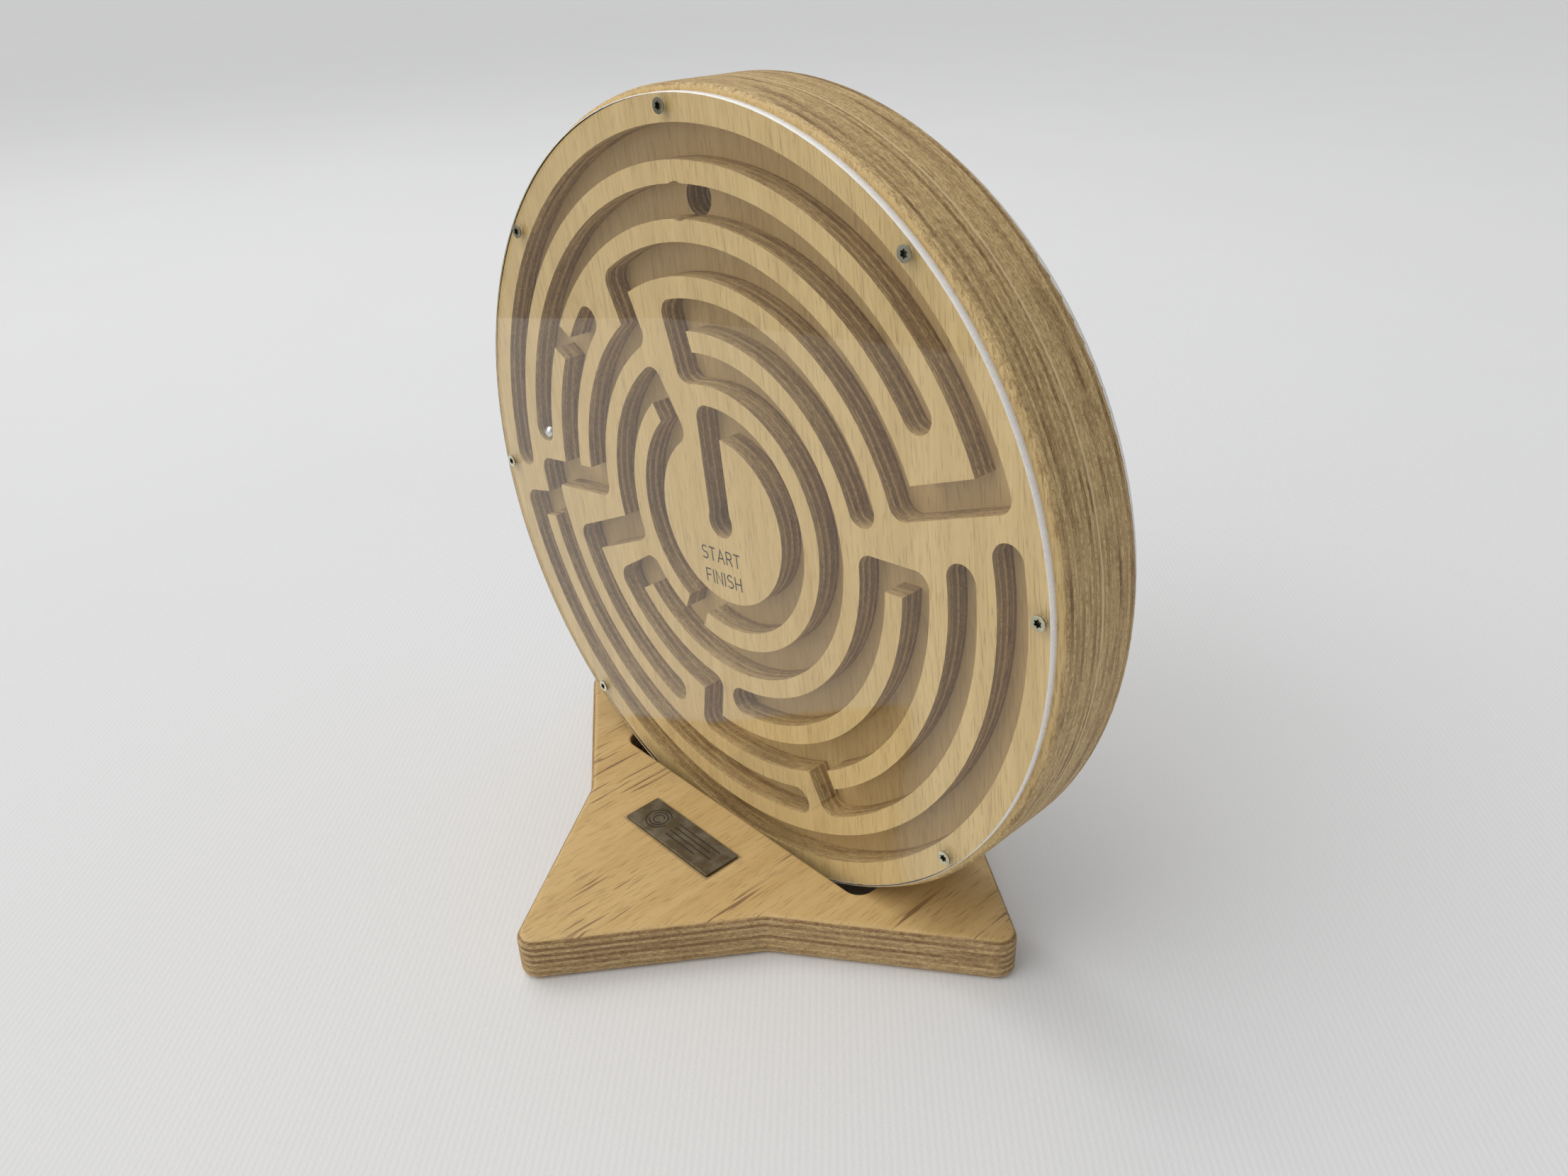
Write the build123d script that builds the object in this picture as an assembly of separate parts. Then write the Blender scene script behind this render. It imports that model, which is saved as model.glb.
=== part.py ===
"""Round two-sided ball maze: a plywood wheel that stands in the slot of a star-shaped base.

Frame: millimetres, +Z up, origin under the middle of the base on the surface it stands on.
The wheel turns about an axis along Y; its front face looks towards -Y.
"""
from build123d import *
from math import atan, atan2, cos, degrees, hypot, radians, sin
import os

# Star-shaped base
BASE_T = 18.0
TIP_R = 128.0
NOTCH_R = 76.4
TIP_ROUND = 7.0
NOTCH_ROUND = 12.0
BASE_EDGE_ROUND = 3.0
SLOT_L = 142.0
SLOT_W = 46.0
SLOT_ROUND = 6.0
SLOT_EDGE_ROUND = 1.5

# Nameplate on the base
PLATE_L = 50.0
PLATE_W = 16.0
PLATE_T = 1.0
PLATE_ROUND = 1.0
PLATE_X = -2.0
PLATE_Y = -47.5

# Wheel: two glued boards between two clear covers
WHEEL_R = 145.0
BOARD_T = 18.0
RIM_ROUND = 2.5
WHEEL_Z = 145.6
WHEEL_TURN = -6.3
COVER_R = 142.5
COVER_T = 3.0
COVER_EDGE = 0.3

# Channels milled in each board
RING_R = [128.0, 109.8, 91.6, 73.4, 55.3, 37.2]
CHANNEL_W = 11.0
LINK_W = 10.9
CHANNEL_DEPTH = 9.2
HOLE_D = 12.4

# Arc channels: ring number, start angle, end angle, clockwise from the wheel's top mark
ARCS = [
    (1, 272.3, 434.8),
    (1, 83.3, 262.3),
    (2, 279.8, 421.6),
    (2, 87.6, 157.3),
    (2, 166.9, 270.0),
    (3, 91.1, 194.0),
    (3, 208.0, 254.2),
    (3, 271.4, 316.4),
    (3, 333.0, 434.8),
    (4, 91.1, 181.0),
    (4, 194.0, 239.2),
    (4, 271.3, 331.4),
    (4, 351.2, 435.6),
    (5, 352.3, 597.9),
    (5, 256.0, 329.4),
    (6, 0.0, 328.3),
]

# Straight channels between rings: ring, angle, ring, angle
LINKS = [
    (1, 74.8, 3, 74.8),
    (1, 262.3, 2, 262.3),
    (2, 157.3, 3, 157.3),
    (2, 270.0, 4, 271.3),
    (2, 304.2, 3, 304.2),
    (3, 91.1, 4, 91.1),
    (3, 194.0, 4, 194.0),
    (3, 254.2, 5, 256.0),
    (3, 333.0, 4, 331.4),
    (4, 239.2, 5, 237.9),
    (4, 351.2, 5, 352.3),
    (5, 208.4, 6, 208.4),
    (5, 329.4, 6, 328.3),
]

# Screws that hold the covers
SCREW_COUNT = 8
SCREW_R = 138.5
HEAD_D = 5.0
HEAD_RIM = 0.4
HEAD_PROUD = 0.7
HEAD_TAPER = 1.1
SHANK_D = 3.0
SHANK_L = 11.5
POINT_L = 2.5
RECESS_D = 2.0
LOBE_D = 0.8
RECESS_DEPTH = 1.1
SCREW_GAP = 0.05

# Steel ball
BALL_D = 6.0
BALL_ANGLE = 278.6
BALL_GAP = 0.2


def spot(radius, angle):
    """Point in a face plane, angle in degrees clockwise from straight up."""
    return (radius * sin(radians(angle)), radius * cos(radians(angle)))


def face_plane(side, depth=0.0):
    """Plane on a wheel face, seen from outside; side is -1 for the front and +1 for the back."""
    y = side * (BOARD_T + depth)
    return Plane(origin=(0, y, WHEEL_Z), x_dir=(-side, 0, 0), z_dir=(0, side, 0))


def mark_angle(side):
    """Direction of the wheel's top mark in that plane."""
    return WHEEL_TURN if side < 0 else -WHEEL_TURN


def arc_slot(radius, start, end):
    """Round-ended slot that follows a ring."""
    half = CHANNEL_W / 2
    middle = (start + end) / 2
    outer = ThreePointArc(
        spot(radius + half, start), spot(radius + half, middle), spot(radius + half, end)
    )
    inner = ThreePointArc(
        spot(radius - half, end), spot(radius - half, middle), spot(radius - half, start)
    )
    reach = degrees(atan(half / radius))
    tip = hypot(radius, half)
    far = ThreePointArc(outer @ 1, spot(tip, end + reach), inner @ 0)
    near = ThreePointArc(inner @ 1, spot(tip, start - reach), outer @ 0)
    return make_face([outer, far, inner, near])


def link_outline(first, second):
    """Straight channel between two points; the rings it joins give it its rounded ends."""
    middle = ((first[0] + second[0]) / 2, (first[1] + second[1]) / 2)
    run = Vector(*second) - Vector(*first)
    turn = degrees(atan2(run.Y, run.X))
    return Location((middle[0], middle[1], 0), (0, 0, turn)) * Rectangle(run.length, LINK_W)


def channel_plan(mark):
    """Outline of all channels of one board, seen from outside; mark is the top mark's direction."""
    outlines = []
    for ring, start, end in ARCS:
        outlines.append(arc_slot(RING_R[ring - 1], start + mark, end + mark))
    for ring_a, angle_a, ring_b, angle_b in LINKS:
        first = spot(RING_R[ring_a - 1], angle_a + mark)
        second = spot(RING_R[ring_b - 1], angle_b + mark)
        outlines.append(link_outline(first, second))
    outlines.append(link_outline(spot(0, mark), spot(RING_R[5], mark)))
    return Sketch() + outlines


def hole_solids(side):
    """The two round holes that join the front channels to the back ones."""
    plane = face_plane(side)
    mark = mark_angle(side)
    holes = []
    for radius in (0.0, RING_R[1]):
        x, y = spot(radius, mark)
        outline = Location((x, y, 0)) * Circle(HOLE_D / 2)
        holes.append(extrude(plane * outline, amount=-BOARD_T))
    return holes


def screw_places():
    """Angles of the cover screws, clockwise from the wheel's top mark."""
    return [360.0 / SCREW_COUNT * i for i in range(SCREW_COUNT)]


def screw_section(gap):
    """Half outline of a screw, turned about its own axis; zero height is the cover's outer face."""
    head = HEAD_D / 2 + gap
    shank = SHANK_D / 2 + gap
    top = HEAD_PROUD
    rim = top - HEAD_RIM
    neck = rim - HEAD_TAPER
    end = -COVER_T - SHANK_L - gap
    return make_face(
        Polyline(
            (0, 0, top),
            (head, 0, top),
            (head, 0, rim),
            (shank, 0, neck),
            (shank, 0, end + POINT_L),
            (0.2, 0, end),
            (0, 0, end),
            close=True,
        )
    )


def screw_at(side, angle, gap=0.0, recess=True):
    """One six-lobe countersunk screw, or with a gap the hole it sits in."""
    body = revolve(screw_section(gap), axis=Axis.Z)
    if recess:
        star = Circle(RECESS_D / 2)
        for k in range(6):
            x, y = spot(RECESS_D / 2, 60 * k)
            star += Location((x, y, 0)) * Circle(LOBE_D / 2)
        pocket = extrude(star, amount=RECESS_DEPTH + 1)
        body -= Location((0, 0, HEAD_PROUD - RECESS_DEPTH)) * pocket
    x, y = spot(SCREW_R, angle + mark_angle(side))
    return face_plane(side, COVER_T) * (Location((x, y, 0)) * body)


def make_base():
    """Four-pointed star with a through slot for the wheel."""
    corners = []
    for k in range(8):
        reach = TIP_R if k % 2 == 0 else NOTCH_R
        corners.append(spot(reach, 45 * k))
    body = extrude(make_face(Polyline(*corners, close=True)), amount=BASE_T)
    tips = []
    notches = []
    for edge in body.edges().filter_by(Axis.Z):
        point = edge.center()
        if Vector(point.X, point.Y).length > (TIP_R + NOTCH_R) / 2:
            tips.append(edge)
        else:
            notches.append(edge)
    body = fillet(tips, TIP_ROUND)
    notches = [
        e for e in body.edges().filter_by(Axis.Z)
        if abs(Vector(e.center().X, e.center().Y).length - NOTCH_R) < 0.5
    ]
    body = fillet(notches, NOTCH_ROUND)
    body = fillet(body.edges().group_by(Axis.Z)[-1], BASE_EDGE_ROUND)
    body = fillet(body.edges().group_by(Axis.Z)[0], BASE_EDGE_ROUND)
    slot = RectangleRounded(SLOT_L, SLOT_W, SLOT_ROUND)
    body -= extrude(slot, amount=BASE_T)
    rims = [
        e for e in body.edges().group_by(Axis.Z)[-1]
        if abs(e.center().X) <= SLOT_L / 2 + 0.1 and abs(e.center().Y) <= SLOT_W / 2 + 0.1
    ]
    return fillet(rims, SLOT_EDGE_ROUND)


def make_board(side):
    """One milled board of the wheel."""
    plane = face_plane(side)
    body = extrude(plane * Circle(WHEEL_R), amount=-BOARD_T)
    outer = [e for e in body.edges() if abs(e.center().Y - side * BOARD_T) < 0.01]
    body = fillet(outer, RIM_ROUND)
    body -= extrude(plane * channel_plan(mark_angle(side)), amount=-CHANNEL_DEPTH)
    for cutter in hole_solids(side):
        body -= cutter
    for angle in screw_places():
        body -= screw_at(side, angle, SCREW_GAP, recess=False)
    return body


def make_cover(side):
    """Clear round cover with countersunk screw holes."""
    plane = face_plane(side)
    body = extrude(plane * Circle(COVER_R), amount=COVER_T)
    body = chamfer(body.edges(), COVER_EDGE)
    for angle in screw_places():
        body -= screw_at(side, angle, SCREW_GAP, recess=False)
    return body


def make_nameplate():
    """Thin metal plate glued on the base in front of the wheel."""
    outline = RectangleRounded(PLATE_L, PLATE_W, PLATE_ROUND)
    plate = extrude(outline, amount=PLATE_T)
    plate = chamfer(plate.edges().group_by(Axis.Z)[-1], 0.2)
    return Location((PLATE_X, PLATE_Y, BASE_T)) * plate


def make_ball():
    """Steel ball at rest in the blind end of the second ring, just behind the front cover."""
    x, z = spot(RING_R[1], BALL_ANGLE + WHEEL_TURN)
    y = -BOARD_T + BALL_D / 2 + BALL_GAP
    return Location((x, y, WHEEL_Z + z)) * Sphere(BALL_D / 2)


def save(shape, name):
    """Write one piece under its node's name."""
    if isinstance(shape, (list, ShapeList)) or len(shape.solids()) != 1:
        raise RuntimeError(name + " is not one solid")
    export_step(shape.solids()[0], "parts/" + name + ".step")


os.makedirs("parts", exist_ok=True)
save(make_base(), "star_base")
save(make_nameplate(), "nameplate")
save(make_board(-1), "maze_board_front")
save(make_board(1), "maze_board_back")
save(make_cover(-1), "cover_front")
save(make_cover(1), "cover_back")
for number, place in enumerate(screw_places(), start=1):
    save(screw_at(-1, place), "cover_screw_front_" + str(number))
    save(screw_at(1, place), "cover_screw_back_" + str(number))
save(make_ball(), "steel_ball")
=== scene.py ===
import math

import bmesh
import bpy
from mathutils import Euler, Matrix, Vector


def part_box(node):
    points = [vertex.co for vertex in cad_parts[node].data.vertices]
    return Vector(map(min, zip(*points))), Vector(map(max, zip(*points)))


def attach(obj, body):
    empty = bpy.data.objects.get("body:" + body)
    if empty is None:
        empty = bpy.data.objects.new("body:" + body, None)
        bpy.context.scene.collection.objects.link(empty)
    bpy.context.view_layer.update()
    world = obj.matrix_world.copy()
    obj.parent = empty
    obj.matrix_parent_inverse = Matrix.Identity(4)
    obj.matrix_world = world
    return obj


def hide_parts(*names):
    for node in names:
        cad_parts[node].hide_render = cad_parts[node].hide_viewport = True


bl_info = {
    "name": "Wheel Maze",
    "version": (1, 0, 0),
    "blender": (4, 5, 0),
    "location": "View3D > Sidebar > Wheel Maze",
    "description": "A two-sided wooden ball maze, turned by hand in the slot of its star stand",
    "category": "Object",
}

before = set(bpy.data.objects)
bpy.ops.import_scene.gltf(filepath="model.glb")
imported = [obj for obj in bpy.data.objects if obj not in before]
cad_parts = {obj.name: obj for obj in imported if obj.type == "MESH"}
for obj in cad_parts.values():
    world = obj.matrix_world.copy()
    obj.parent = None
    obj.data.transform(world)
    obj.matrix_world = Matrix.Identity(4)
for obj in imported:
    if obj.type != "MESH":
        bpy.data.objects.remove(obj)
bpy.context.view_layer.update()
MM = 0.001
TO_MM = 1000.0

# The wheel: its axis and its turn in the slot
BOARD_LOW, BOARD_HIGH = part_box("maze_board_front")
WHEEL_CENTRE = (
    0.0,
    BOARD_HIGH[1],
    (BOARD_LOW[2] + BOARD_HIGH[2]) / 2,
)
WHEEL_TURN = math.radians(6.3)
GRAIN_UP = (-math.sin(WHEEL_TURN), 0.0, math.cos(WHEEL_TURN))
GRAIN_ACROSS = (math.cos(WHEEL_TURN), 0.0, math.sin(WHEEL_TURN))
SCREW_COUNT = 16

# The plywood of the wheel and the stand, in millimetres
BOARD_THICK = 18.0
PLY_COUNT = 13
RIM_FADE = (138.0, 142.0)
# Depth range in mm over which the painted shade on the channel floors fades out
FLOOR_SHADE_FADE = (12.0, 15.0)

# The camera's place in metres and its turn in degrees
CAMERA_PLACE = (0.3045, -0.2663, 0.3331)
CAMERA_TURN = (61.2, 1.82, 46.8)


class Graph:
    """Builds one material's node tree in few words."""

    def __init__(self, name):
        self.mat = bpy.data.materials.new(name)
        self.mat.use_nodes = True
        self.tree = self.mat.node_tree
        self.tree.nodes.clear()
        self.coord = self.tree.nodes.new("ShaderNodeTexCoord")

    def wire(self, socket, value):
        if value is None:
            return
        if isinstance(value, bpy.types.NodeSocket):
            self.tree.links.new(value, socket)
        else:
            socket.default_value = value

    def node(self, kind, inputs=None, **settings):
        made = self.tree.nodes.new("ShaderNode" + kind)
        for key, value in settings.items():
            setattr(made, key, value)
        for key, value in (inputs or {}).items():
            self.wire(made.inputs[key], value)
        return made

    def math(self, operation, a, b=None, c=None, clamp=False):
        made = self.tree.nodes.new("ShaderNodeMath")
        made.operation = operation
        made.use_clamp = clamp
        for i, value in enumerate((a, b, c)):
            self.wire(made.inputs[i], value)
        return made.outputs[0]

    def plus(self, a, b):
        return self.math("ADD", a, b)

    def minus(self, a, b):
        return self.math("SUBTRACT", a, b)

    def times(self, a, b):
        return self.math("MULTIPLY", a, b)

    def dot(self, vector, axis):
        made = self.tree.nodes.new("ShaderNodeVectorMath")
        made.operation = "DOT_PRODUCT"
        self.wire(made.inputs[0], vector)
        made.inputs[1].default_value = axis
        return made.outputs["Value"]

    def join(self, x, y, z):
        return self.node("CombineXYZ", {"X": x, "Y": y, "Z": z}).outputs[0]

    def noise(self, vector, scale=1.0, detail=3.0, rough=0.5):
        made = self.node(
            "TexNoise",
            {"Vector": vector, "Scale": scale, "Detail": detail, "Roughness": rough},
        )
        return made.outputs["Fac"]

    def chance(self, value):
        made = self.tree.nodes.new("ShaderNodeTexWhiteNoise")
        made.noise_dimensions = "1D"
        self.wire(made.inputs["W"], value)
        return made.outputs["Value"]

    def span(self, value, low, high, to_low=0.0, to_high=1.0, kind="LINEAR"):
        made = self.tree.nodes.new("ShaderNodeMapRange")
        made.interpolation_type = kind
        keys = ("Value", "From Min", "From Max", "To Min", "To Max")
        for key, held in zip(keys, (value, low, high, to_low, to_high)):
            self.wire(made.inputs[key], held)
        return made.outputs[0]

    def smooth(self, value, low, high, to_low=0.0, to_high=1.0):
        return self.span(value, low, high, to_low, to_high, "SMOOTHSTEP")

    def mix(self, share, a, b):
        made = self.tree.nodes.new("ShaderNodeMix")
        made.data_type = "RGBA"
        made.clamp_factor = True
        self.wire(made.inputs[0], share)
        self.wire(made.inputs[6], a)
        self.wire(made.inputs[7], b)
        return made.outputs[2]

    def blend_value(self, share, a, b):
        made = self.tree.nodes.new("ShaderNodeMix")
        made.data_type = "FLOAT"
        self.wire(made.inputs[0], share)
        self.wire(made.inputs[2], a)
        self.wire(made.inputs[3], b)
        return made.outputs[0]

    def bump(self, height, distance, strength=1.0):
        made = self.node(
            "Bump", {"Height": height, "Distance": distance, "Strength": strength}
        )
        return made.outputs[0]

    def finish(self, shader):
        out = self.tree.nodes.new("ShaderNodeOutputMaterial")
        self.tree.links.new(shader, out.inputs["Surface"])
        return self.mat


def rgba(colour):
    return (colour[0], colour[1], colour[2], 1.0)


def plywood(name, look, axes, milled, marks=None):
    """Plies stacked along one axis, each with its grain turned a quarter from the next.

    The axes are the grain's two directions and the stack's. Milled boards also get the
    seam between them, painted shade on the channel floors and a fade in how strongly the plies show.
    """
    g = Graph(name)
    place = g.coord.outputs["Object"]
    normal = g.coord.outputs["Normal"]
    across_axis, up_axis, stack_axis = axes
    across = g.times(g.dot(place, across_axis), TO_MM)
    up = g.times(g.dot(place, up_axis), TO_MM)
    stack = g.times(g.dot(place, stack_axis), TO_MM)
    face = g.smooth(g.math("ABSOLUTE", g.dot(normal, stack_axis)), 0.70, 0.93)
    cut = g.minus(1.0, g.math("GREATER_THAN", face, 0.5))

    # Which ply this is, counted along the stack, and how far through it
    inside = g.math("WRAP", stack, BOARD_THICK, 0.0)
    level = g.math("DIVIDE", inside, BOARD_THICK / PLY_COUNT)
    wander = g.noise(g.join(across, up, stack), 0.035, 3.0)
    level = g.plus(level, g.span(wander, 0.25, 0.75, -0.22, 0.22))
    level = g.math("MAXIMUM", g.math("MINIMUM", level, PLY_COUNT - 0.02), 0.02)
    index = g.math("FLOOR", level)
    part_of_ply = g.math("FRACT", level)
    near_glue = g.math("MINIMUM", part_of_ply, g.minus(1.0, part_of_ply))
    crossed = g.times(g.math("MODULO", index, 2.0), cut)

    # Each ply draws its own numbers, and the second board's differ from the first's
    board = g.math("GREATER_THAN", stack, 0.0)
    layer = g.times(g.plus(index, g.times(board, 17.0)), cut)
    own = g.chance(g.plus(layer, 3.37))
    other = g.chance(g.plus(layer, 71.9))

    # Grain: long fibres along the ply's own direction
    wide = g.blend_value(crossed, across, up)
    long = g.blend_value(crossed, up, across)
    shift = g.times(own, 57.0)

    def along_grain(wide_scale, stack_scale, long_scale, detail, rough):
        spot = g.join(
            g.times(wide, wide_scale),
            g.plus(g.times(stack, stack_scale), shift),
            g.times(long, long_scale),
        )
        return g.noise(spot, 1.0, detail, rough)

    fibre = along_grain(0.75, 1.2, 0.022, 6.0, 0.72)
    figure = along_grain(0.11, 0.05, 0.006, 4.0, 0.55)
    pores = g.smooth(along_grain(2.4, 3.6, 0.13, 1.0, 0.4), 0.60, 0.69)

    # The broad face veneer
    veneer = g.mix(g.smooth(figure, 0.3, 0.72), rgba(look.face), rgba(look.face_deep))
    fine = g.times(g.smooth(fibre, 0.46, 0.66), look.grain_strength)
    veneer = g.mix(fine, veneer, rgba(look.grain))
    veneer = g.mix(g.times(pores, 0.42), veneer, rgba(look.pore))
    if milled:
        # Painted shade: the channel floors and the foot of their walls are darkened towards the
        # middle ply tone, standing in for the shade deep in the channels
        floor = g.smooth(g.math("ABSOLUTE", stack), *FLOOR_SHADE_FADE, 0.38, 0.0)
        veneer = g.mix(floor, veneer, rgba(look.edge_mid))
    if marks is not None:
        veneer = marks(g, veneer, place, across, up)

    # The cut edges of the plies
    bright = g.mix(g.smooth(fibre, 0.35, 0.7), rgba(look.edge_light), rgba(look.edge_mid))
    dull = g.mix(g.smooth(fibre, 0.35, 0.7), rgba(look.edge_mid), rgba(look.edge_dark))
    sideways = g.math("ABSOLUTE", g.dot(normal, across_axis))
    contrast = g.plus(0.25, g.times(sideways, 0.75))
    if milled:
        # The fade is centred 16 mm to the left of the wheel's axis, not on it
        rise = g.minus(up, TO_MM * WHEEL_CENTRE[2] * math.cos(WHEEL_TURN))
        squares = g.plus(g.math("POWER", across, 2.0), g.math("POWER", rise, 2.0))
        radius = g.math("SQRT", squares)
        contrast = g.times(contrast, g.smooth(radius, *RIM_FADE, 1.0, 0.45))
    darkness = g.times(g.minus(1.0, crossed), contrast)
    if milled:
        # On the channel walls a light ply shows as a thin line between broad dark ones
        slim = g.times(g.smooth(near_glue, 0.16, 0.27, 0.75, 0.0), crossed)
        slim = g.times(slim, g.times(contrast, g.smooth(radius, *RIM_FADE, 1.0, 0.0)))
        darkness = g.math("MAXIMUM", darkness, slim)
    patch_spot = g.join(g.times(across, 0.03), layer, g.times(up, 0.03))
    patchy = g.minus(g.noise(patch_spot, 1.0, 4.0, 0.6), 0.5)
    stray = g.plus(g.times(g.minus(other, 0.5), 0.85), g.times(patchy, 3.6))
    darkness = g.math("ADD", darkness, stray, clamp=True)
    edge = g.mix(darkness, bright, dull)
    edge = g.mix(g.times(pores, 0.5), edge, rgba(look.pore))
    torn_spot = g.join(g.times(across, 0.8), g.times(stack, 2.2), g.times(up, 0.8))
    torn = g.noise(torn_spot, 1.0, 3.0, 0.6)
    edge = g.mix(g.smooth(torn, 0.56, 0.68, 0.0, 0.5), edge, rgba(look.edge_light))
    glue = g.smooth(near_glue, 0.02, 0.09, 0.32, 0.0)
    edge = g.mix(glue, edge, rgba(look.glue))
    if milled:
        seam = g.smooth(g.math("ABSOLUTE", stack), 0.25, 0.5, 0.65, 0.0)
        edge = g.mix(seam, edge, rgba(look.seam))

    rough = g.blend_value(
        face,
        g.span(fibre, 0.2, 0.8, look.edge_rough, look.edge_rough + 0.12),
        g.span(fibre, 0.2, 0.8, look.face_rough, look.face_rough + 0.14),
    )
    pits = g.times(g.math("MAXIMUM", pores, glue), 0.55)
    relief = g.minus(g.times(fibre, 0.6), pits)
    shader = g.node(
        "BsdfPrincipled",
        {
            "Base Color": g.mix(face, edge, veneer),
            "Roughness": rough,
            "Normal": g.bump(relief, 0.00016, 0.75),
            "Specular IOR Level": 0.42,
        },
    )
    return g.finish(shader.outputs[0])


def stand_marks(g, veneer, place, across, up):
    """Long dark mineral streaks in the stand's top, and a dark band round the plate."""
    streak_spot = g.join(g.times(across, 0.62), 4.2, g.times(up, 0.032))
    streak = g.noise(streak_spot, 1.0, 1.5, 0.35)
    patch_spot = g.join(g.times(across, 0.018), 1.1, g.times(up, 0.014))
    patch = g.noise(patch_spot, 1.0, 1.0)
    strength = g.times(g.smooth(streak, 0.625, 0.675), g.smooth(patch, 0.41, 0.51))
    veneer = g.mix(g.times(strength, 0.85), veneer, (0.21, 0.115, 0.055, 1.0))

    low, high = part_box("nameplate")
    apart = []
    for way, axis in enumerate(((1, 0, 0), (0, 1, 0))):
        off = g.minus(g.dot(place, axis), (low[way] + high[way]) / 2)
        apart.append(g.minus(g.math("ABSOLUTE", off), (high[way] - low[way]) / 2))
    nearest = g.math("MAXIMUM", *apart)
    # Darker in a band about 1.6 mm wide round the plate's edge
    plate_border_dark = g.smooth(nearest, 0.0, 1.6 * MM, 0.62, 0.0)
    return g.mix(plate_border_dark, veneer, (0.13, 0.085, 0.045, 1.0))


def clear_sheet(name, look):
    """Clear acrylic with bright, lightly frosted cut edges.

    Lamps and bounced light pass straight through.
    """
    g = Graph(name)
    facing = g.math("ABSOLUTE", g.dot(g.coord.outputs["Normal"], (0, 1, 0)))
    outside = g.minus(1.0, g.node("NewGeometry").outputs["Backfacing"])
    cut = g.times(g.smooth(facing, 0.55, 0.9, 1.0, 0.0), outside)
    place = g.coord.outputs["Object"]
    smear = g.noise(place, 22.0, 4.0, 0.6)
    bent = g.node(
        "BsdfGlass",
        {
            "Color": (0.99, 0.995, 0.99, 1.0),
            "Roughness": g.span(smear, 0.45, 0.75, 0.0, 0.012),
            "IOR": look.sheet_ior,
        },
    )
    through = g.node("BsdfTransparent", {"Color": rgba(look.sheet)})
    ray = g.node("LightPath")
    straight = g.math("MAXIMUM", ray.outputs["Is Shadow Ray"], ray.outputs["Is Diffuse Ray"])
    pane = g.node("MixShader", {0: straight, 1: bent.outputs[0], 2: through.outputs[0]})
    saw = g.noise(place, 900.0, 2.0)
    frosted = g.node(
        "BsdfPrincipled",
        {
            "Base Color": g.mix(saw, rgba(look.sheet_edge), (0.99, 0.98, 0.95, 1.0)),
            "Roughness": g.span(saw, 0.3, 0.7, 0.25, 0.45),
            "Subsurface Weight": 0.35,
            "Subsurface Scale": 0.002,
            "Normal": g.bump(saw, 0.00008, 0.6),
        },
    )
    whole = g.node("MixShader", {0: cut, 1: pane.outputs[0], 2: frosted.outputs[0]})
    return g.finish(whole.outputs[0])


def bare_metal(name, colour, worn, rough, brush, speck=0.0, proud=None):
    """Bare metal with fine scratches and dull patches.

    The brush gives how finely the scratches are drawn along each axis. Given how far
    screw heads stand out from the wheel's middle plane, painted shade darkens what lies deeper.
    """
    g = Graph(name)
    place = g.coord.outputs["Object"]
    stretched = g.node("Mapping", {"Vector": place, "Scale": brush}).outputs[0]
    scratch = g.noise(stretched, 1.0, 4.0, 0.65)
    cloud = g.noise(place, 160.0, 4.0, 0.6)
    tone = g.mix(g.smooth(cloud, 0.38, 0.66), rgba(colour), rgba(worn))
    tone = g.mix(g.times(g.smooth(scratch, 0.5, 0.75), 0.4), tone, rgba(worn))
    if proud is not None:
        # Painted shade: whatever lies deeper than just below the head's top, the drive recess and the
        # head's side, is darkened nearly to black
        rise = g.math("ABSOLUTE", g.dot(place, (0, 1, 0)))
        recess_shade = g.smooth(rise, proud - 0.40 * MM, proud - 0.12 * MM, 0.85, 0.0)
        tone = g.mix(recess_shade, tone, (0.045, 0.04, 0.025, 1.0))
    if speck:
        dot = g.smooth(g.noise(place, 1500.0, 1.0), 0.66, 0.72)
        tone = g.mix(g.times(dot, speck), tone, (0.05, 0.045, 0.03, 1.0))
    shader = g.node(
        "BsdfPrincipled",
        {
            "Base Color": tone,
            "Metallic": 1.0,
            "Roughness": g.span(scratch, 0.25, 0.75, rough, rough + 0.16),
            "Normal": g.bump(scratch, 0.02 * MM, 0.6),
        },
    )
    return g.finish(shader.outputs[0])


def burnt(name, colour):
    """Char left by the engraving laser."""
    g = Graph(name)
    grit = g.noise(g.coord.outputs["Object"], 2500.0, 3.0, 0.7)
    shader = g.node(
        "BsdfPrincipled",
        {
            "Base Color": g.mix(grit, rgba(colour), (0.04, 0.025, 0.015, 1.0)),
            "Roughness": g.span(grit, 0.3, 0.7, 0.65, 0.95),
            "Normal": g.bump(grit, 0.00003, 0.7),
        },
    )
    return g.finish(shader.outputs[0])


def dress(names, material):
    """Gives every surface of these parts one material."""
    for name in names:
        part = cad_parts.get(name)
        if part is None:
            raise RuntimeError(f"the frame has no part named {name}")
        if not part.material_slots:
            part.data.materials.append(material)
        for held in part.material_slots:
            held.material = material


def add_mesh(name, shape, material):
    """Turns a bmesh into a named piece of the scene."""
    mesh = bpy.data.meshes.new(name)
    bmesh.ops.recalc_face_normals(shape, faces=shape.faces)
    shape.to_mesh(mesh)
    shape.free()
    piece = bpy.data.objects.new(name, mesh)
    bpy.context.scene.collection.objects.link(piece)
    mesh.materials.append(material)
    return piece


def arc(cx, cy, rx, ry, start, end, steps):
    """Points on part of an oval, angles in degrees from the right, turning left."""
    points = []
    for i in range(steps + 1):
        a = math.radians(start + (end - start) * i / steps)
        points.append((cx + rx * math.cos(a), cy + ry * math.sin(a)))
    return points


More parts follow.
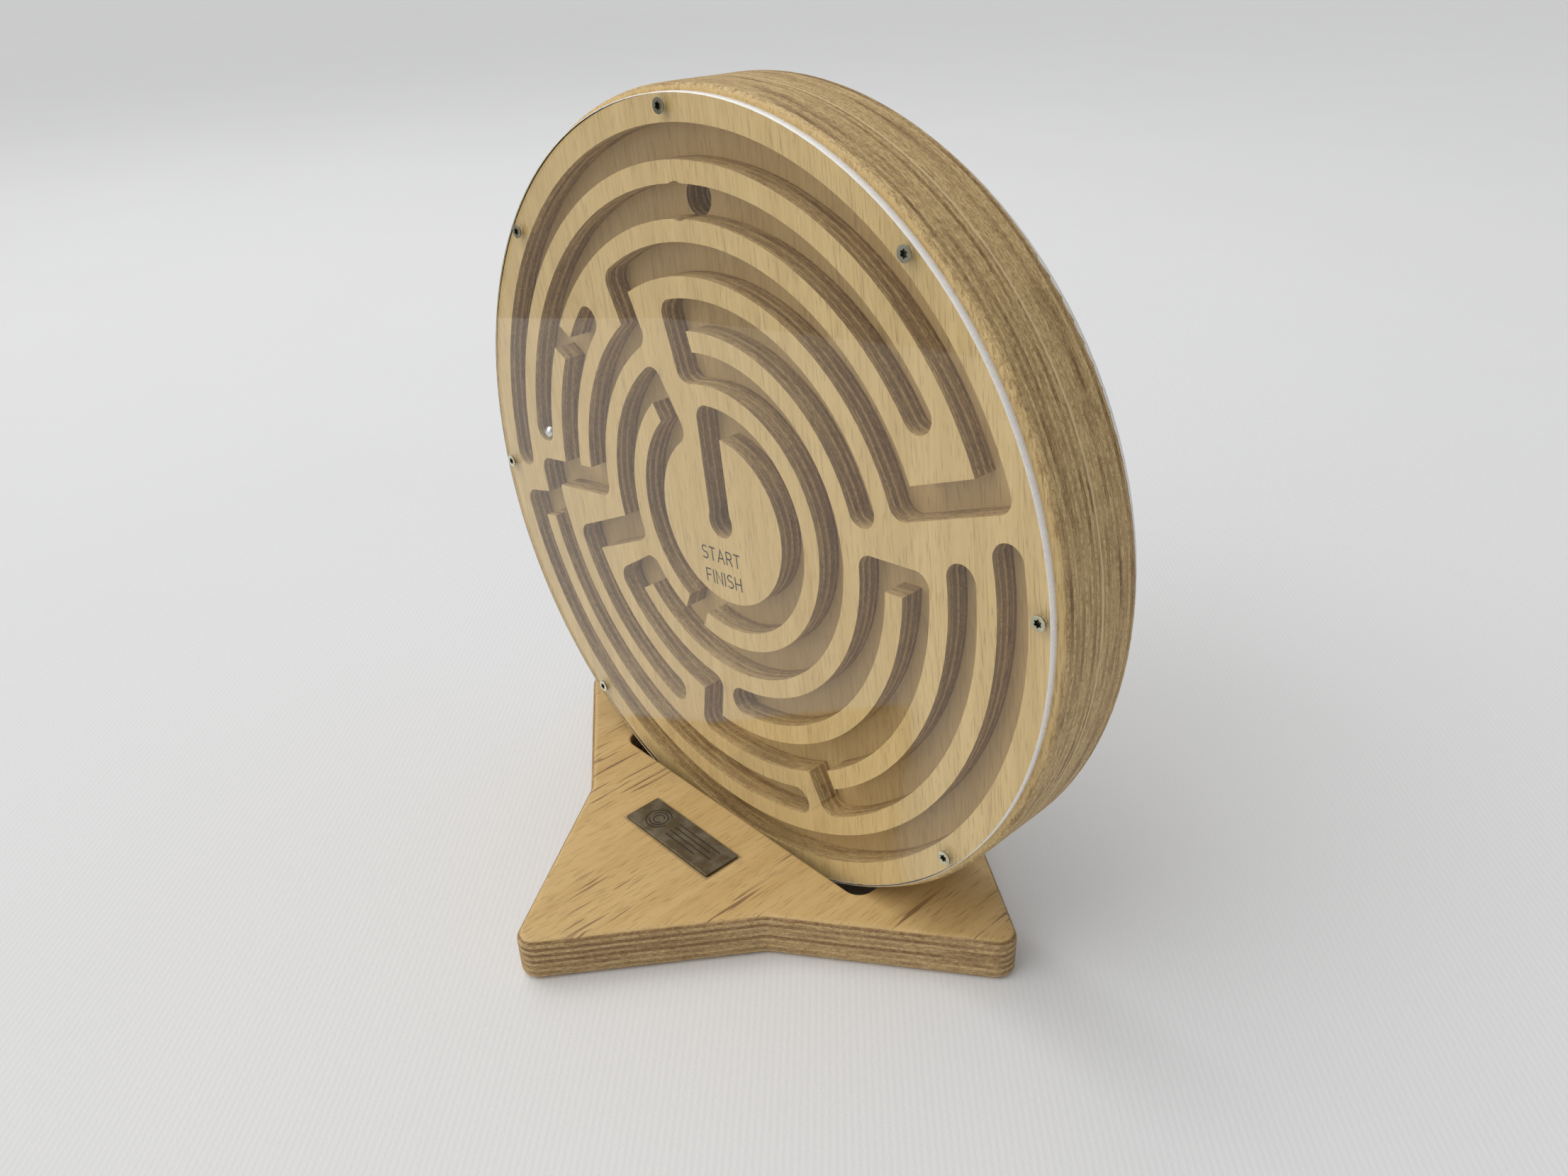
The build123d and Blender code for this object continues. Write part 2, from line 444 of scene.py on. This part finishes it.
def glyph(letter):
    """Single strokes of one plain capital, one unit tall, and its width."""
    if letter == "S":
        upper = arc(0.29, 0.755, 0.26, 0.245, 40, 270, 12)
        lower = arc(0.29, 0.265, 0.29, 0.265, 90, -140, 12)
        return [upper + lower[1:]], 0.58
    if letter == "T":
        return [[(0.0, 1.0), (0.62, 1.0)], [(0.31, 1.0), (0.31, 0.0)]], 0.62
    if letter == "A":
        return [[(0.0, 0.0), (0.36, 1.0), (0.72, 0.0)], [(0.13, 0.34), (0.59, 0.34)]], 0.72
    if letter == "R":
        bowl = [(0.0, 0.0), (0.0, 1.0), (0.32, 1.0)]
        bowl += arc(0.32, 0.735, 0.25, 0.265, 90, -90, 10)[1:] + [(0.0, 0.47)]
        return [bowl, [(0.30, 0.47), (0.58, 0.0)]], 0.58
    if letter == "F":
        return [[(0.0, 0.0), (0.0, 1.0), (0.5, 1.0)], [(0.0, 0.52), (0.43, 0.52)]], 0.5
    if letter == "I":
        return [[(0.0, 0.0), (0.0, 1.0)]], 0.0
    if letter == "N":
        return [[(0.0, 0.0), (0.0, 1.0), (0.64, 0.0), (0.64, 1.0)]], 0.64
    if letter == "H":
        return [[(0.0, 0.0), (0.0, 1.0)], [(0.62, 0.0), (0.62, 1.0)], [(0.0, 0.5), (0.62, 0.5)]], 0.62
    raise RuntimeError(f"no strokes for {letter}")


def ribbon(shape, points, width, low, high, put):
    """A flat raised line of even width, its points placed in space by put(x, y, height)."""
    n = len(points)
    sides = []
    for i, p in enumerate(points):
        before = Vector(points[max(i - 1, 0)])
        after = Vector(points[min(i + 1, n - 1)])
        here = Vector(p)
        first = (here - before).normalized() if i > 0 else (after - here).normalized()
        second = (after - here).normalized() if i < n - 1 else first
        mean = (first + second).normalized()
        normal = Vector((-mean.y, mean.x))
        reach = width / 2 / max(normal.dot(Vector((-first.y, first.x))), 0.45)
        if i == 0:
            here = here - first * width * 0.35
        if i == n - 1:
            here = here + second * width * 0.35
        sides.append((here + normal * reach, here - normal * reach))
    rings = []
    for a, b in sides:
        rings.append(
            [shape.verts.new(put(q.x, q.y, h)) for q, h in ((a, low), (a, high), (b, high), (b, low))]
        )
    for r0, r1 in zip(rings, rings[1:]):
        for k in range(4):
            shape.faces.new((r0[k], r0[(k + 1) % 4], r1[(k + 1) % 4], r1[k]))
    shape.faces.new(rings[0])
    shape.faces.new(rings[-1])


def tint(name, description, default):
    """A colour that a user can change."""
    return bpy.props.FloatVectorProperty(
        name=name, description=description, default=default, size=3, subtype="COLOR"
    )


def portion(name, description, default):
    """A value from none to all that a user can change."""
    return bpy.props.FloatProperty(
        name=name, description=description, default=default, min=0.0, max=1.0, subtype="FACTOR"
    )


def length(name, description, default, **more):
    """A length that a user can change."""
    return bpy.props.FloatProperty(
        name=name, description=description, default=default, unit="LENGTH", **more
    )


class MazeWood(bpy.types.PropertyGroup):
    """Colours and finish of the wheel's two milled boards."""

    face: tint("Face", "Face veneer", (0.70, 0.50, 0.225))
    face_deep: tint("Face figure", "Deeper tone of the face veneer", (0.62, 0.43, 0.183))
    grain: tint("Grain", "Fine grain lines", (0.50, 0.325, 0.13))
    pore: tint("Pores", "Short dark pores", (0.27, 0.15, 0.06))
    edge_light: tint("Light ply", "Light plies on a cut edge", (0.71, 0.52, 0.245))
    edge_mid: tint("Middle ply", "Middle tone on a cut edge", (0.355, 0.215, 0.082))
    edge_dark: tint("Dark ply", "Dark plies on a cut edge", (0.145, 0.075, 0.027))
    glue: tint("Glue line", "Dark glue between plies", (0.18, 0.10, 0.05))
    seam: tint("Board seam", "Line where the two boards meet", (0.86, 0.68, 0.40))
    grain_strength: portion("Grain strength", "How much the fine grain shows", 0.45)
    face_rough: portion("Face roughness", "Roughness of the face", 0.42)
    edge_rough: portion("Edge roughness", "Roughness of the cut edges", 0.56)


class StandWood(bpy.types.PropertyGroup):
    """Colours and finish of the star stand."""

    face: tint("Face", "Top veneer", (0.67, 0.47, 0.205))
    face_deep: tint("Face figure", "Deeper tone of the top veneer", (0.60, 0.40, 0.16))
    grain: tint("Grain", "Fine grain lines", (0.44, 0.265, 0.10))
    pore: tint("Pores", "Short dark pores", (0.27, 0.145, 0.06))
    edge_light: tint("Light ply", "Light plies on a cut edge", (0.62, 0.445, 0.215))
    edge_mid: tint("Middle ply", "Middle tone on a cut edge", (0.32, 0.192, 0.076))
    edge_dark: tint("Dark ply", "Dark plies on a cut edge", (0.145, 0.076, 0.029))
    glue: tint("Glue line", "Dark glue between plies", (0.18, 0.10, 0.05))
    grain_strength: portion("Grain strength", "How much the fine grain shows", 0.26)
    face_rough: portion("Face roughness", "Roughness of the top", 0.40)
    edge_rough: portion("Edge roughness", "Roughness of the cut edges", 0.56)


class MazeTrim(bpy.types.PropertyGroup):
    """Sizes and colours of the clear covers, the metal and the engraving."""

    sheet: tint("Acrylic", "Tint of the clear covers", (0.985, 0.988, 0.98))
    sheet_edge: tint("Acrylic edge", "Frosted cut edge", (0.80, 0.79, 0.74))
    sheet_ior: bpy.props.FloatProperty(
        name="Acrylic IOR",
        description="How strongly the covers bend and mirror light",
        default=1.40,
        min=1.0,
        max=2.0,
    )
    zinc: tint("Zinc", "Plated screws", (0.86, 0.84, 0.66))
    bronze: tint("Plate", "Brushed dark bronze plate", (0.130, 0.105, 0.065))
    char: tint("Engraving", "Burnt line", (0.015, 0.010, 0.007))
    cover_gap: length("Cover gap", "Air between a cover and its board", 0.08 * MM, precision=5)
    letter_height: length("Letter height", "Height of the engraved capitals", 5.0 * MM)
    line_width: length("Line width", "Width of an engraved line", 0.54 * MM)
    line_depth: length("Line relief", "How far a line stands out", 0.05 * MM)


class StudioLook(bpy.types.PropertyGroup):
    """Floor, light and camera."""

    floor: tint("Floor", "Pale woven floor cloth", (0.80, 0.80, 0.805))
    floor_reach: length("Floor reach", "Half the floor's width", 14.0)
    key_power: bpy.props.FloatProperty(
        name="Key light",
        description="Strength of the large soft light",
        default=1.10,
        min=0.0,
    )
    side_power: bpy.props.FloatProperty(
        name="Left light",
        description="Power of the soft light on the left",
        default=10.0,
        unit="POWER",
    )
    fill_power: bpy.props.FloatProperty(
        name="Fill light",
        description="Strength of the light from the front",
        default=0.70,
        min=0.0,
    )
    lens: bpy.props.FloatProperty(
        name="Lens",
        description="Focal length on a 36 mm sensor",
        default=28.07,
        unit="CAMERA",
    )


class WHEELMAZE_OT_boards(bpy.types.Operator):
    """Gives the two milled boards their birch plies and face grain"""

    bl_idname = "wheelmaze.boards"
    bl_label = "Milled boards"

    def execute(self, context):
        wood = plywood(
            "birch_wheel",
            context.scene.maze_wood,
            (GRAIN_ACROSS, GRAIN_UP, (0.0, 1.0, 0.0)),
            milled=True,
        )
        dress(("maze_board_front", "maze_board_back"), wood)
        return {"FINISHED"}


class WHEELMAZE_OT_stand(bpy.types.Operator):
    """Gives the star stand its streaked top and cut plies"""

    bl_idname = "wheelmaze.stand"
    bl_label = "Star stand"

    def execute(self, context):
        wood = plywood(
            "birch_stand",
            context.scene.stand_wood,
            ((1.0, 0.0, 0.0), (0.0, 1.0, 0.0), (0.0, 0.0, 1.0)),
            milled=False,
            marks=stand_marks,
        )
        dress(("star_base",), wood)
        return {"FINISHED"}


class WHEELMAZE_OT_covers(bpy.types.Operator):
    """Cuts the clear covers to the CAD shape, lying a hair's breadth off the boards"""

    bl_idname = "wheelmaze.covers"
    bl_label = "Clear covers"

    def execute(self, context):
        trim = context.scene.maze_trim
        sheet = clear_sheet("clear_acrylic", trim)
        face = abs(BOARD_LOW[1])
        for side, sign in (("front", -1.0), ("back", 1.0)):
            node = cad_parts["cover_" + side]
            shape = bmesh.new()
            shape.from_mesh(node.data)
            bmesh.ops.remove_doubles(shape, verts=shape.verts, dist=0.002 * MM)
            moved = 0
            for vert in shape.verts:
                if abs(vert.co.y) < face + trim.cover_gap:
                    vert.co.y = sign * (face + trim.cover_gap)
                    moved += 1
            if not moved:
                raise RuntimeError("the cover has no inner face to lift")
            piece = add_mesh("clear_cover_" + side, shape, sheet)
            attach(piece, "wheel")
            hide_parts("cover_" + side)
        return {"FINISHED"}


class WHEELMAZE_OT_metal(bpy.types.Operator):
    """Plates the screws, browns the plate and polishes the ball"""

    bl_idname = "wheelmaze.metal"
    bl_label = "Screws, plate and ball"

    def execute(self, context):
        trim = context.scene.maze_trim
        screws = [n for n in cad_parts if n.startswith("cover_screw")]
        if len(screws) != SCREW_COUNT:
            raise RuntimeError("sixteen cover screws were expected")
        proud = max(abs(corner[1]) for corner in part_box(screws[0]))
        zinc = bare_metal(
            "yellow_zinc", trim.zinc, (0.52, 0.50, 0.36), 0.24, (700, 700, 700), proud=proud
        )
        dress(screws, zinc)
        bronze = bare_metal(
            "brushed_bronze", trim.bronze, (0.22, 0.19, 0.14), 0.28, (60, 4200, 60), speck=0.5
        )
        dress(("nameplate",), bronze)
        steel = bare_metal(
            "polished_steel", (0.78, 0.79, 0.80), (0.66, 0.67, 0.68), 0.06, (900, 900, 900)
        )
        dress(("steel_ball",), steel)
        return {"FINISHED"}


class WHEELMAZE_OT_words(bpy.types.Operator):
    """Burns the words for the two ends of the maze into the wheel's face"""

    bl_idname = "wheelmaze.words"
    bl_label = "Engraved words"

    def execute(self, context):
        trim = context.scene.maze_trim
        tall = trim.letter_height
        char = burnt("laser_char", trim.char)
        across, up = Vector(GRAIN_ACROSS), Vector(GRAIN_UP)
        centre = Vector((WHEEL_CENTRE[0], BOARD_LOW[1], WHEEL_CENTRE[2]))

        def put(x, z, rise):
            return centre + across * x + up * z + Vector((0, -rise, 0))

        for word, left, right, foot in (
            ("START", -13.0 * MM, 7.9 * MM, -16.4 * MM),
            ("FINISH", -12.1 * MM, 7.1 * MM, -25.5 * MM),
        ):
            widths = [glyph(letter)[1] * tall for letter in word]
            gap = (right - left - sum(widths)) / (len(word) - 1)
            shape = bmesh.new()
            x = left
            for letter, width in zip(word, widths):
                for stroke in glyph(letter)[0]:
                    flat = [(x + px * tall, foot + pz * tall) for px, pz in stroke]
                    ribbon(shape, flat, trim.line_width, 0.0, trim.line_depth, put)
                x += width + gap
            piece = add_mesh("engraved_" + word.lower(), shape, char)
            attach(piece, "wheel")
        return {"FINISHED"}


class WHEELMAZE_OT_motif(bpy.types.Operator):
    """Etches a plain ring-and-line motif on the metal plate"""

    bl_idname = "wheelmaze.motif"
    bl_label = "Plate motif"

    def execute(self, context):
        trim = context.scene.maze_trim
        low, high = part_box("nameplate")
        middle = Vector(((low[0] + high[0]) / 2, (low[1] + high[1]) / 2, high[2]))
        dark = burnt("etched_line", (0.012, 0.01, 0.008))

        def put(x, y, rise):
            return middle + Vector((x, y, rise))

        lines = []
        for radius, start, end in ((5.2, 50, 350), (3.7, 230, 530), (2.2, 40, 330)):
            lines.append(arc(-14.0 * MM, 0.0, radius * MM, radius * MM, start, end, 40))
        for y, right in ((3.6, 19.0), (1.2, 16.0), (-1.2, 19.0), (-3.6, 12.0)):
            lines.append([(-5.0 * MM, y * MM), (right * MM, y * MM)])
        shape = bmesh.new()
        for points in lines:
            ribbon(shape, points, 0.55 * MM, 0.0, 0.03 * MM, put)
        piece = add_mesh("plate_motif", shape, dark)
        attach(piece, "base")
        return {"FINISHED"}


class WHEELMAZE_OT_studio(bpy.types.Operator):
    """Lays the pale floor, hangs the soft lights and places the camera"""

    bl_idname = "wheelmaze.studio"
    bl_label = "Studio"

    def execute(self, context):
        look = context.scene.studio_look
        g = Graph("woven_floor_cloth")
        place = g.coord.outputs["Object"]
        weft = g.node(
            "TexWave",
            {"Vector": place, "Scale": 190.0, "Distortion": 2.2, "Detail": 2.0, "Detail Scale": 6.0},
            bands_direction="DIAGONAL",
        ).outputs["Fac"]
        warp = g.noise(place, 900.0, 2.0)
        weave = g.plus(g.times(weft, 0.6), g.times(warp, 0.7))
        shade = [channel * 0.97 for channel in look.floor]
        cloth = g.node(
            "BsdfPrincipled",
            {
                "Base Color": g.mix(g.noise(place, 5.0, 3.0), rgba(look.floor), rgba(shade)),
                "Roughness": 0.85,
                "Specular IOR Level": 0.2,
                "Normal": g.bump(weave, 0.00035, 0.2),
            },
        )
        shape = bmesh.new()
        bmesh.ops.create_grid(shape, x_segments=8, y_segments=8, size=look.floor_reach)
        floor = add_mesh("floor", shape, g.finish(cloth.outputs[0]))

        # A dark card that only reflections see, so the covers stay clear near their top
        g = Graph("dark_room_card")
        dull = g.node("BsdfDiffuse", {"Color": (0.03, 0.03, 0.03, 1.0)})
        shape = bmesh.new()
        corners = (
            (-0.735, -0.361),
            (-0.611, -0.467),
            (-0.36, -0.56),
            (3.0, -1.2),
            (3.0, -12.0),
            (-12.0, -12.0),
            (-12.0, -0.361),
        )
        shape.faces.new([shape.verts.new((x, y, 2.0 * MM)) for x, y in corners])
        card = add_mesh("dark_room_card", shape, g.finish(dull.outputs[0]))
        card.visible_camera = False
        card.visible_diffuse = False
        card.visible_shadow = False
        card.visible_transmission = False

        def hang(name, data, spot, turn):
            holder = bpy.data.objects.new(name, data)
            holder.location = spot
            holder.rotation_euler = turn
            bpy.context.scene.collection.objects.link(holder)
            return holder

        def facing(way):
            return Vector(way).to_track_quat("Z", "Y").to_euler()

        soft = bpy.data.lights.new("left_softbox", "AREA")
        soft.shape = "DISK"
        soft.size = 1.8
        soft.energy = look.side_power
        hang("left_softbox", soft, (-1.25, 0.1, 1.9), facing((-1.25, 0.1, 1.75)))
        for name, way, spread, power, warm in (
            ("key_sky", (-0.40, -0.48, 1.0), 62.0, look.key_power, (1.0, 0.985, 0.96)),
            ("front_fill", (-0.25, -1.0, 0.45), 60.0, look.fill_power, (0.98, 0.99, 1.0)),
        ):
            light = bpy.data.lights.new(name, "SUN")
            light.energy = power
            light.angle = math.radians(spread)
            light.color = warm
            hang(name, light, way, facing(way))

        world = bpy.data.worlds.new("soft_room")
        bpy.context.scene.world = world
        world.use_nodes = True
        tree = world.node_tree
        tree.nodes.clear()
        path = tree.nodes.new("ShaderNodeLightPath")

        def glow(colour, strength=1.0):
            made = tree.nodes.new("ShaderNodeBackground")
            made.inputs["Color"].default_value = rgba(colour)
            made.inputs["Strength"].default_value = strength
            return made.outputs[0]

        def choose(ray, otherwise, then):
            made = tree.nodes.new("ShaderNodeMixShader")
            for socket, source in zip(made.inputs, (path.outputs[ray], otherwise, then)):
                tree.links.new(source, socket)
            return made.outputs[0]

        room = choose("Is Glossy Ray", glow((0.97, 0.985, 1.0), 0.40), glow((0.30, 0.30, 0.30)))
        room = choose("Is Camera Ray", room, glow((0.62, 0.62, 0.63)))
        out = tree.nodes.new("ShaderNodeOutputWorld")
        tree.links.new(room, out.inputs["Surface"])

        bpy.context.scene.view_settings.view_transform = "Standard"

        eye = bpy.data.cameras.new("camera")
        eye.sensor_width = 36.0
        eye.lens = look.lens
        eye.clip_start = 0.01
        eye.clip_end = 60.0
        turn = Euler([math.radians(angle) for angle in CAMERA_TURN], "XYZ")
        bpy.context.scene.camera = hang("camera", eye, CAMERA_PLACE, turn)
        return {"FINISHED"}


STEPS = (
    WHEELMAZE_OT_boards,
    WHEELMAZE_OT_stand,
    WHEELMAZE_OT_covers,
    WHEELMAZE_OT_metal,
    WHEELMAZE_OT_words,
    WHEELMAZE_OT_motif,
    WHEELMAZE_OT_studio,
)
LOOKS = (
    ("maze_wood", MazeWood),
    ("stand_wood", StandWood),
    ("maze_trim", MazeTrim),
    ("studio_look", StudioLook),
)


class WHEELMAZE_PT_panel(bpy.types.Panel):
    """Lists the maze's looks and the steps that make it"""

    bl_idname = "WHEELMAZE_PT_panel"
    bl_label = "Wheel Maze"
    bl_space_type = "VIEW_3D"
    bl_region_type = "UI"
    bl_category = "Wheel Maze"

    def draw(self, context):
        for name, kind in LOOKS:
            box = self.layout.box()
            box.label(text=kind.__doc__)
            for key in kind.__annotations__:
                box.prop(getattr(context.scene, name), key)
        for step in STEPS:
            self.layout.operator(step.bl_idname)


def register():
    for name, kind in LOOKS:
        bpy.utils.register_class(kind)
        setattr(bpy.types.Scene, name, bpy.props.PointerProperty(type=kind))
    for step in STEPS:
        bpy.utils.register_class(step)
    bpy.utils.register_class(WHEELMAZE_PT_panel)


def unregister():
    bpy.utils.unregister_class(WHEELMAZE_PT_panel)
    for step in reversed(STEPS):
        bpy.utils.unregister_class(step)
    for name, kind in reversed(LOOKS):
        delattr(bpy.types.Scene, name)
        bpy.utils.unregister_class(kind)


def main():
    register()
    for step in STEPS:
        group, name = step.bl_idname.split(".")
        getattr(getattr(bpy.ops, group), name)()


if __name__ == "__main__":
    main()
